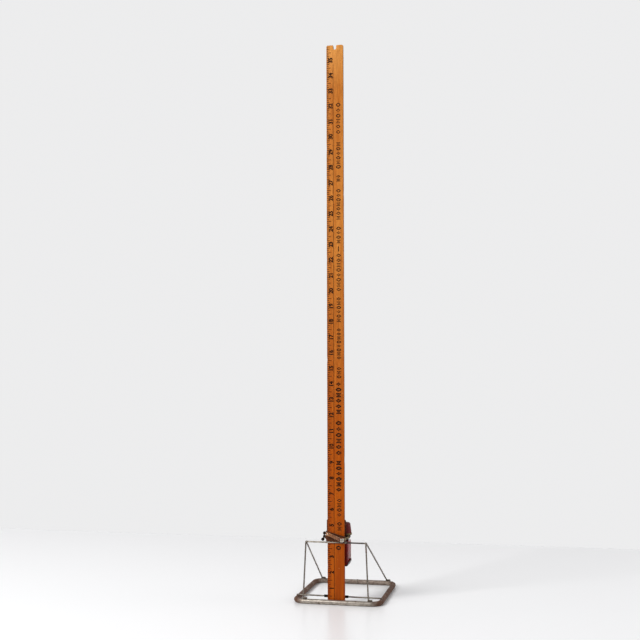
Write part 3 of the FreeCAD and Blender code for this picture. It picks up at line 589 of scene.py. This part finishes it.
# %% Bend the wires
WIRE = 2.4 / 2
TOE, CORNER_RISE, CORNER_LEAD = 6.5, 1.6, 0.9
WIRE_BEND, KEEPER_BEND, STOP_BEND = 2.0, 1.44, 16.0
STOP_Y, STOP_KINKS, STOP_SKEWS = 13.9, (-27, 23), (1.8, -2.0)
foot_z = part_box("rear_stop_wire")[0].z / MM + WIRE
rail_low, rail_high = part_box("top_cross_wire")
RAIL_Y = (rail_low.y + rail_high.y) / 2 / MM
RAIL_Z = (rail_low.z + rail_high.z) / 2 / MM
wire_low, wire_high = (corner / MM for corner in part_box("left_side_wire"))
FOOT_X, HEEL_X, TOP_X = -(wire_high.x - TOE), -(wire_low.x + WIRE), rail_high.x / MM


def side_wire(side):
    """One wire's corners, from its front toe over the top to its back toe."""
    foot_y, heel_y = wire_low.y + WIRE, wire_high.y - WIRE
    return [(side * FOOT_X + TOE, foot_y, foot_z), (side * FOOT_X, foot_y, foot_z),
            (side * TOP_X, RAIL_Y - CORNER_LEAD, RAIL_Z + CORNER_RISE),
            (side * HEEL_X, heel_y, foot_z), (side * HEEL_X + TOE, heel_y, foot_z)]


for side, node in ((-1, "left_side_wire"), (1, "right_side_wire")):
    path = bent_path(side_wire(side), WIRE_BEND, steps=8)
    add_piece("bent_" + node, *sweep(path, WIRE), wire_steel, "stand", "bare_steel", [node])

rail = [Vector((-TOP_X, RAIL_Y, RAIL_Z)), Vector((0, RAIL_Y, RAIL_Z)), Vector((TOP_X, RAIL_Y, RAIL_Z))]
add_piece("straight_rail", *sweep(rail, WIRE), rail_steel, "stand", "bare_steel", ["top_cross_wire"])

KEEPER_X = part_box("ruler_keeper")[1].x / MM - WIRE
KEEPER_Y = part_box("ruler_keeper")[1].y / MM - WIRE
staple = bent_path([(-KEEPER_X, RAIL_Y, RAIL_Z), (-KEEPER_X, KEEPER_Y, RAIL_Z),
                    (KEEPER_X, KEEPER_Y, RAIL_Z), (KEEPER_X, RAIL_Y, RAIL_Z)], KEEPER_BEND, steps=6)
add_piece("keeper_staple", *sweep(staple, WIRE), wire_steel, "stand", "bare_steel", ["ruler_keeper"])

stop_low, stop_high = (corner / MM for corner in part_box("rear_stop_wire"))
stop_path = bent_path([(stop_low.x, STOP_Y + STOP_SKEWS[0], foot_z), (STOP_KINKS[0], STOP_Y, foot_z),
                       (STOP_KINKS[1], STOP_Y, foot_z), (stop_high.x, STOP_Y + STOP_SKEWS[1], foot_z)],
                      STOP_BEND, steps=5)
add_piece("crooked_stop_wire", *sweep(stop_path, WIRE), wire_steel, "stand", "bare_steel",
          ["rear_stop_wire"])


# %% [markdown]
# ## Welds
#
# Each wire is held by a lump of weld metal. A lump is a ball that a noise has pushed about, flattened
# onto the rod. The ring's own joint is different: a low ridge all the way round the rod, with ripples
# from the rod of filler metal. Both are too small for a modifier stack to be worth its trouble.

# %% Drop the weld beads
def lump(form, centre, reach, seed):
    """A ball of weld metal, pushed out of round by a noise."""
    made = bmesh.ops.create_icosphere(form, subdivisions=3, radius=1.0)
    for vertex in made["verts"]:
        swell = 1 + 0.22 * noise.noise(vertex.co * 1.7 + Vector((seed, seed * 2, 0)))
        swell += 0.08 * noise.noise(vertex.co * 5 + Vector((0, seed, 0)))
        vertex.co = (Vector(centre) + Vector([c * r for c, r in zip(vertex.co, reach)]) * swell) * MM


def seam_ridge(form, middle, rod, width, rise):
    """A rippled ridge round a rod that lies along X, sunk a little into it."""
    rings, sides = [], 40
    for step in range(9):
        across = -width / 2 + width * step / 8
        high = rise * math.cos(math.pi * across / width) - 0.15
        ring = []
        for side in range(sides):
            angle = math.tau * side / sides
            ripple = high + 0.12 * math.sin(angle * 13 + across * 2)
            radius = rod + min(ripple, rise)
            ring.append(form.verts.new(Vector((middle[0] + across, middle[1] + radius * math.cos(angle),
                                               middle[2] + radius * math.sin(angle))) * MM))
        rings.append(ring)
    for here, there in zip(rings, rings[1:]):
        for side in range(sides):
            form.faces.new((here[side], here[side - 1], there[side - 1], there[side]))
    form.faces.new(rings[0])
    form.faces.new(rings[-1][::-1])


welds = bmesh.new()
heel_y, foot_y = wire_high.y - WIRE, wire_low.y + WIRE
spots = []
for side in (-1, 1):
    spots += [((side * FOOT_X + 4.6, foot_y, foot_z - 0.4), (1.8, 1.3, 1.1)),
              ((side * HEEL_X + 4.6, heel_y, foot_z - 0.3), (2.3, 1.7, 1.4)),
              ((side * FOOT_X, foot_y, foot_z - 0.5), (1.5, 1.4, 1.1)),
              ((side * HEEL_X, heel_y, foot_z - 0.5), (1.7, 1.6, 1.2)),
              ((side * KEEPER_X, RAIL_Y, RAIL_Z), (1.7, 1.45, 1.5)),
              ((side * (TOP_X - 1.6), RAIL_Y, RAIL_Z), (1.9, 1.5, 1.5)),
              ((SIDE_MIDDLE / MM + side * 70, STOP_Y - side * 2, foot_z - 0.3), (2.0, 1.7, 1.3))]
for number, (centre, reach) in enumerate(spots):
    lump(welds, centre, reach, number)
SEAM_X, SEAM_WIDTH, SEAM_RISE = 5.8, 1.8, 0.4
seam_middle = (SEAM_X, ring_high.y / MM - ROD - 0.35, ROD + SEAM_RISE)
seam_ridge(welds, seam_middle, ROD, SEAM_WIDTH, SEAM_RISE)
bmesh.ops.recalc_face_normals(welds, faces=welds.faces)
add_form("weld_lumps", welds, wire_steel, "stand", ["weld_beads"])


# %% [markdown]
# ## The yardstick
#
# The stick is one long lath, sawn to an outline with a notch in its top end. The outline is drawn
# once with every worn dip and rounded corner in it, filled, and pulled back to the stick's
# thickness. A bevel then takes off the arrises. A scaled cube would be quicker, but its edges would
# be as straight as glass, and this stick has been knocked for years.

# %% Saw the yardstick
stick_low, stick_high = (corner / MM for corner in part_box("yardstick"))
STICK_X, STICK_Y, STICK_TOP = stick_high.x, stick_high.y, stick_high.z
NOTCH, NOTCH_DEPTH = 4.8 / 2, 7.5
NOTCH_ROOT = STICK_TOP - NOTCH_DEPTH + NOTCH
ARRIS = 0.45
DIPS = ((-1, 395, 0.5, 3.0), (-1, 560, 0.25, 4.0), (1, 668, 0.35, 3.0), (-1, 742, 0.3, 5.0),
        (1, 233, 0.3, 4.0), (-1, 61, 0.35, 3.0))


def worn_side(side, height):
    """How far out the stick's side stands at a height: its full width, less the wear."""
    wear = 0.07 + 0.07 * noise.noise(Vector((side * 9, 0, height / 17)))
    for where, middle, depth, length in DIPS:
        if where == side:
            wear += depth * math.exp(-((height - middle) / length) ** 2)
    return side * (STICK_X - wear)


def corner_arc(x, z, radius, start, end, steps=6):
    """Points of an arc in front view, from one angle to another in degrees."""
    angles = [math.radians(start + (end - start) * step / steps) for step in range(steps + 1)]
    return [(x + radius * math.cos(a), z + radius * math.sin(a)) for a in angles]


def stick_outline():
    """The lath in front view, anticlockwise from its lower right corner."""
    heights = [3 + 4 * step for step in range(227)]
    right = [(worn_side(1, z), z) for z in heights if z < STICK_TOP - 3.5]
    left = [(worn_side(-1, z), z) for z in reversed(heights) if z < STICK_TOP - 3.5]
    notch = [(NOTCH + 1.1, STICK_TOP - 0.1), (NOTCH + 0.5, STICK_TOP - 0.7), (NOTCH, STICK_TOP - 2.0)]
    outline = corner_arc(STICK_X - 1.1, 1.0, 1.0, -90, 0) + right
    outline += corner_arc(STICK_X - 2.4, STICK_TOP - 2.4, 2.3, 0, 90) + notch
    outline += corner_arc(0, NOTCH_ROOT, NOTCH, 0, -180, 10)
    outline += [(-x, z) for x, z in reversed(notch)]
    return outline + corner_arc(-STICK_X + 2.8, STICK_TOP - 2.8, 2.6, 90, 180) + left + corner_arc(
        -STICK_X + 1.1, 1.0, 1.0, 180, 270)


stick = bmesh.new()
front = [stick.verts.new(Vector((x, -STICK_Y, z)) * MM) for x, z in stick_outline()]
pulled = bmesh.ops.extrude_face_region(stick, geom=[stick.faces.new(front)])
back = [part for part in pulled["geom"] if isinstance(part, bmesh.types.BMVert)]
bmesh.ops.translate(stick, vec=(0, 2 * STICK_Y * MM, 0), verts=back)
bmesh.ops.recalc_face_normals(stick, faces=stick.faces)
arrises = [e for e in stick.edges if abs(e.verts[0].co.y - e.verts[1].co.y) < 1e-6]
bmesh.ops.bevel(stick, geom=arrises, offset=ARRIS * MM, segments=3, profile=0.6, affect="EDGES",
                clamp_overlap=True)
add_form("worn_yardstick", stick, varnished_wood, "ruler", ["yardstick"], sharp=50)


# %% [markdown]
# ## The printed scale
#
# Ink has a thickness, even if it is only a few hundredths of a millimetre. The marks are flat
# shapes laid on the face and pulled out by that much, so they are real pieces of the model and not
# a picture. They run in from the left edge: short for the eighths, longer for the quarters, longest
# for the halves, and only as long as a quarter at the inches, where the number needs the room. A
# long line closes the scale off from the rest of the face. The numbers come from a text object,
# laid on its side to read upwards, and turned into a mesh.

# %% Print the marks and numbers
INCH = 25.4
INK_BACK = -STICK_Y - 0.01
INK_FRONT = -STICK_Y - 0.06
LINE_X, LINE_HALF, LINE_STEP, LINE_STEPS = -STICK_X + 11.3, 0.34, 4.0, 220
MARKS = {8: 4.4, 4: 6.8, 2: 4.4, 6: 4.4}
EIGHTH_MARK, MARK_HALF, MARK_INSET = 3.0, 0.45, 0.55


def flat_face(form, corners):
    """One flat patch of ink from corners in front view, in millimetres."""
    return form.faces.new([form.verts.new(Vector((x, INK_BACK, z)) * MM) for x, z in corners])


def bar(form, left, right, low, high):
    return flat_face(form, ((left, low), (right, low), (right, high), (left, high)))


def press(name, form, material):
    """Pull flat ink out to its thickness and print it on the stick."""
    pulled = bmesh.ops.extrude_face_region(form, geom=form.faces[:])
    risen = [part for part in pulled["geom"] if isinstance(part, bmesh.types.BMVert)]
    bmesh.ops.translate(form, vec=(0, (INK_FRONT - INK_BACK) * MM, 0), verts=risen)
    bmesh.ops.recalc_face_normals(form, faces=form.faces)
    return add_form(name, form, material, "ruler", sharp=30)


marks = bmesh.new()
for eighth in range(1, 36 * 8):
    height = eighth * INCH / 8
    length = MARKS.get(eighth % 8 or 8, EIGHTH_MARK)
    edge = worn_side(-1, height) + MARK_INSET
    bar(marks, edge, edge + length, height - MARK_HALF, height + MARK_HALF)
for step in range(LINE_STEPS):
    low = 2 + step * LINE_STEP
    bar(marks, LINE_X - LINE_HALF, LINE_X + LINE_HALF, low, low + LINE_STEP)
press("scale_marks", marks, scale_ink)


def number_mesh(word, height):
    """The flat mesh of a number whose figures are this tall."""
    text = bpy.data.curves.new("figures", "FONT")
    text.body = word
    text.align_x, text.align_y = "CENTER", "CENTER"
    text.size = height / 0.73
    text.offset = 0.07 * height
    text.resolution_u = 3
    holder = bpy.data.objects.new("figures", text)
    mesh = bpy.data.meshes.new_from_object(holder)
    bpy.data.objects.remove(holder)
    bpy.data.curves.remove(text)
    return mesh


numbers = bmesh.new()
FIGURE_HEIGHT, FIGURE_X = 6.7, -STICK_X + 7.3
READING_UP = Matrix(((0, -1, 0), (0, 0, -1), (1, 0, 0))).to_4x4()
for inch in range(1, 36):
    figures = number_mesh(str(inch), FIGURE_HEIGHT)
    spot = Vector((FIGURE_X, INK_BACK, inch * INCH)) * MM
    figures.transform(Matrix.Translation(spot) @ READING_UP @ Matrix.Scale(MM, 4))
    numbers.from_mesh(figures)
    bpy.data.meshes.remove(figures)
press("scale_numbers", numbers, scale_ink)


# %% [markdown]
# ## The row of ornaments
#
# Beside the scale runs a row of simple ornaments: lozenges, pointed ovals, four-pointed stars,
# small bars and two rings, some light and some bold, in groups with gaps between them. Each
# ornament is a ribbon between an outer and an inner outline, so that it has the stroke of a printed
# mark.

# %% Print the ornaments
def loop(kind, wide, long, count=24):
    """An outline about its middle: a lozenge, a pointed oval, a four-pointed star or a ring."""
    points = []
    for step in range(count):
        angle = math.tau * step / count
        c, s = math.cos(angle), math.sin(angle)
        reach = {"lozenge": 1 / (abs(c) + abs(s)), "ring": 1.0,
                 "oval": (1 / (abs(c) ** 1.4 + abs(s) ** 1.4)) ** (1 / 1.4),
                 "star": (abs(c) ** 0.75 + abs(s) ** 0.75) ** (-1 / 0.75)}[kind]
        points.append((wide / 2 * c * reach, long / 2 * s * reach))
    return points


def ribbon(form, kind, x, z, wide, long, stroke):
    """A stroke that follows an outline."""
    outer = loop(kind, wide, long)
    inner = loop(kind, max(wide - 2.4 * stroke, 0.3), max(long - 2.4 * stroke, 0.3))
    rims = [[form.verts.new(Vector((x + u, INK_BACK, z + v)) * MM) for u, v in rim]
            for rim in (outer, inner)]
    for step in range(len(outer)):
        form.faces.new((rims[0][step - 1], rims[0][step], rims[1][step], rims[1][step - 1]))


def three_bars(form, x, z, wide, long, stroke):
    """Three short bars across the row, the middle one shorter."""
    for place, share in ((-1, 1.0), (0, 0.6), (1, 1.0)):
        middle = z + place * (long - stroke) / 2
        bar(form, x - wide * share / 2, x + wide * share / 2, middle - stroke / 2, middle + stroke / 2)


LIGHT, BOLD, FIRST = (5.7, 8.0, 1.4), (4.9, 10.0, 2.2), (4.2, 7.6, 1.7)
ROW = ((86, 95.4, 1, FIRST), (118, 133, 2, LIGHT), (140, 171, 4, LIGHT), (180, 232, 6, BOLD),
       (239, 297, 6, BOLD), (306, 360, 6, BOLD), (364, 384, 3, LIGHT), (395, 447, 8, LIGHT),
       (456, 498, 6, LIGHT), (506, 570, 8, LIGHT), (585, 614, 4, LIGHT), (624, 676, 7, LIGHT),
       (687, 699, 2, LIGHT), (708, 753, 6, LIGHT), (765, 819, 6, LIGHT))
KINDS = ("lozenge", "bars", "oval", "star", "oval", "bars", "lozenge")
RINGS = (0, 63)
FILL = 0.76

ornaments = bmesh.new()
placed = 0
for low, high, count, (x, wide, stroke) in ROW:
    pitch = (high - low) / count
    for number in range(count):
        kind = "ring" if placed in RINGS else KINDS[placed % len(KINDS)]
        long = pitch * FILL
        z = low + pitch * (number + 0.5)
        if kind == "bars":
            three_bars(ornaments, x, z, wide * 0.8, long, stroke * 0.9)
        else:
            ribbon(ornaments, kind, x, z, wide, long, stroke)
        placed += 1
bar(ornaments, 4.9, 6.3, 572, 581)
press("ornament_row", ornaments, bold_ink)
print(placed, "ornaments")


# %% [markdown]
# ## The rubber bulb
#
# The bulb is a short oval tub of thick rubber, a little wider at its foot where the metal rim grips
# it, with a flat top that a thumb pushes down. Two seams from its mould run up its ends. It is built
# as rings of points on a drawn profile, each ring an oval slightly squarer than an ellipse. Rubber
# can't slide as the CAD's two solids do, so this one piece stands for both.

# %% Mould the bulb
bulb_low, bulb_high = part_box("bulb_wall")[0] / MM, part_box("bulb_crown")[1] / MM
BULB_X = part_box("air_tube")[0].x / MM + 2.5
BULB_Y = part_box("air_tube")[0].y / MM + 2.5
PROFILE = ((-0.5, 18.3, 11.9), (0.6, 18.7, 12.2), (2.2, 18.9, 12.4), (5.0, 18.7, 12.2),
           (8.5, 18.3, 11.9), (11.5, 17.95, 11.6), (13.4, 17.7, 11.4), (14.0, 17.55, 11.25),
           (15.6, 17.4, 11.15), (16.8, 17.0, 10.8), (17.7, 16.3, 10.2), (18.3, 15.3, 9.3),
           (18.65, 14.0, 8.1), (18.75, 12.4, 6.8), (18.6, 10.2, 5.4), (18.35, 7.4, 3.8),
           (18.2, 4.0, 2.0), (18.15, 1.2, 0.6))
SIDES = 72


def bulb_ring(height, wide, deep):
    """One oval of the bulb, with a fine ridge at each end where the mould closed."""
    ring = []
    for side in range(SIDES):
        angle = math.tau * side / SIDES
        c, s = math.cos(angle), math.sin(angle)
        reach = (abs(c) ** 2.35 + abs(s) ** 2.35) ** (-1 / 2.35)
        ridge = 0.16 * math.exp(-(min(abs(s) * wide, 9) / 0.55) ** 2)
        slump = 0.12 * noise.noise(Vector((c * 2, s * 2, height / 9)))
        ring.append((BULB_X + (wide + ridge + slump) * c * reach, BULB_Y + (deep + slump) * s * reach,
                     bulb_low.z + height))
    return ring


bulb_points = [point for row in PROFILE for point in bulb_ring(*row)]
bulb_faces = [(r * SIDES + s, r * SIDES + (s + 1) % SIDES, (r + 1) * SIDES + (s + 1) % SIDES,
               (r + 1) * SIDES + s) for r in range(len(PROFILE) - 1) for s in range(SIDES)]
last = (len(PROFILE) - 1) * SIDES
bulb_faces += [tuple(reversed(range(SIDES))), tuple(range(last, last + SIDES))]
bulb = add_piece("rubber_bulb", bulb_points, bulb_faces, maroon_rubber, "head", "maroon_rubber",
                 ["bulb_wall", "bulb_crown"], sharp=60)
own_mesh(bulb)


# %% [markdown]
# ## The nozzle tube
#
# A thin brass tube leaves the cup, passes the stick's right edge and runs forward to the nozzle. Its
# ends are hidden in the cup and in the nozzle, so a plain swept rod shows all that can be seen.

# %% Bend the nozzle tube
TUBE, TUBE_BEND = 2.05, 6.0
tube_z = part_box("nozzle_tube")[1].z / MM - TUBE
tube_corners = [(13.2, 15.8, tube_z), (20.0, 4.5, tube_z), (13.9, -23.6, tube_z - 0.8)]
tube_path = bent_path(tube_corners, TUBE_BEND, steps=10)
add_piece("bent_nozzle_tube", *sweep(tube_path, TUBE, sides=24), old_brass, "head", "old_brass",
          ["nozzle_tube"])


# %% [markdown]
# ## Pieces that keep their CAD mesh
#
# Folded sheet, moulded and turned pieces already have the right shape. What they lack is the small
# rounding that every real edge has, and a highlight needs it. Four modifiers add it without touching
# the CAD mesh: weld the split corners, merge flat triangles, bevel the sharp edges, and weigh the
# normals by face size so that flat faces stay flat.

# %% Soften and dress the CAD nodes
def soften(node, width, segments=3):
    """Round a CAD node's sharp edges by a width in millimetres."""
    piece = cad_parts[node]
    weld = piece.modifiers.new("weld corners", "WELD")
    weld.merge_threshold = 0.004 * MM
    flat = piece.modifiers.new("merge flat faces", "DECIMATE")
    flat.decimate_type = "DISSOLVE"
    flat.angle_limit = math.radians(0.6)
    edge = piece.modifiers.new("round edges", "BEVEL")
    edge.width = width * MM
    edge.segments = segments
    edge.limit_method = "ANGLE"
    edge.angle_limit = math.radians(35)
    edge.use_clamp_overlap = True
    even = piece.modifiers.new("even normals", "WEIGHTED_NORMAL")
    even.weight = 60
    return piece


CAD_FINISHES = {
    "foot_clip": (black_steel, 0.15),
    "slide_saddle": (steel_toned_as_shade, 0.2),
    "screw_boss": (steel_toned_as_shade, 0.2),
    "cup_band": (steel_toned_as_shade, 0.15),
    "mount_bracket": (steel_toned_as_shade, 0.3),
    "wing_screw": (screw_steel, 0.35),
    "brace_strap": (strap_steel, 0.15),
    "brace_rivet": (nickel, 0.1),
    "nozzle_tip": (nickel, 0.25),
    "powder_screen": (old_brass, 0.05),
    "air_tube": (old_brass, 0.1),
    "bulb_rim": (old_brass, 0.3),
    "pressure_pad": (old_brass, 0.1),
    "reservoir": (red_plastic, 0.7),
    "valve_cup": (dark_plastic, 0.4),
    "filler_cap": (dark_plastic, 0.35),
    "cap_gasket": (black_rubber, 0.1),
}
for node, (material, width) in CAD_FINISHES.items():
    soften(node, width).material_slots[0].material = material
print(len(CAD_FINISHES), "CAD nodes dressed")


# %% [markdown]
# ## Floor and light
#
# The marker stands on a pale table whose back edge shows against a slightly darker wall. The table
# has a faint gloss, so the foot of the stick is dimly mirrored in it. One large soft light from the
# left and front gives the shape, and a weaker one on the right puts the pale streak on the tank.
# The rest comes from a sky that is pale behind the marker and dark in front of it, so that metal
# has something dark to mirror. A Light Path node shows the camera one even tone in its place.

# %% Lay the floor and hang the lights
TABLE_SIDE, TABLE_FRONT, TABLE_BACK = 1.7, -1.7, 0.62

floor_mesh = bpy.data.meshes.new("pale_floor")
table_corners = [(-TABLE_SIDE, TABLE_FRONT, 0), (TABLE_SIDE, TABLE_FRONT, 0),
                 (TABLE_SIDE, TABLE_BACK, 0), (-TABLE_SIDE, TABLE_BACK, 0)]
floor_mesh.from_pydata(table_corners, [], [(0, 1, 2, 3)])
floor = bpy.data.objects.new("pale_floor", floor_mesh)
floor.location.z = -0.0001
bpy.context.scene.collection.objects.link(floor)

floor_paint, _, _ = begin("pale_table", Base_Color=rgb(244, 244, 244), Roughness=0.3,
                          Specular_IOR_Level=0.35)
floor_mesh.materials.append(floor_paint)


def hang_light(name, place, aim, width, power, tint=(1.0, 1.0, 1.0)):
    """A square soft light that looks at a point."""
    lamp = bpy.data.lights.new(name, "AREA")
    lamp.size = width
    lamp.energy = power
    lamp.color = tint
    holder = bpy.data.objects.new(name, lamp)
    bpy.context.scene.collection.objects.link(holder)
    holder.location = place
    holder.rotation_euler = (Vector(aim) - Vector(place)).to_track_quat("-Z", "Y").to_euler()
    return holder


hang_light("key_light", (-1.7, -1.9, 1.9), (0, 0, 0.4), 1.2, 90)
hang_light("right_light", (2.2, 0.2, 0.9), (0, 0, 0.3), 0.9, 14)

SKY_IN_FRONT, SKY_BEHIND = (0.16, 0.16, 0.17, 1), (0.95, 0.95, 0.96, 1)
WALL = (0.845, 0.845, 0.85, 1)
sky = bpy.data.worlds.new("white_studio")
bpy.context.scene.world = sky
sky.use_nodes = True
studio = sky.node_tree
behind = add(studio, "SeparateXYZ", {0: add(studio, "TexCoord").outputs["Generated"]}).outputs["Y"]
lit = blend(studio, remap(studio, behind, -0.3, 0.9), SKY_IN_FRONT, SKY_BEHIND)
seen = blend(studio, add(studio, "LightPath").outputs["Is Camera Ray"], lit, WALL)
studio.links.new(seen, studio.nodes["Background"].inputs["Color"])
bpy.context.scene.view_settings.view_transform = "Standard"
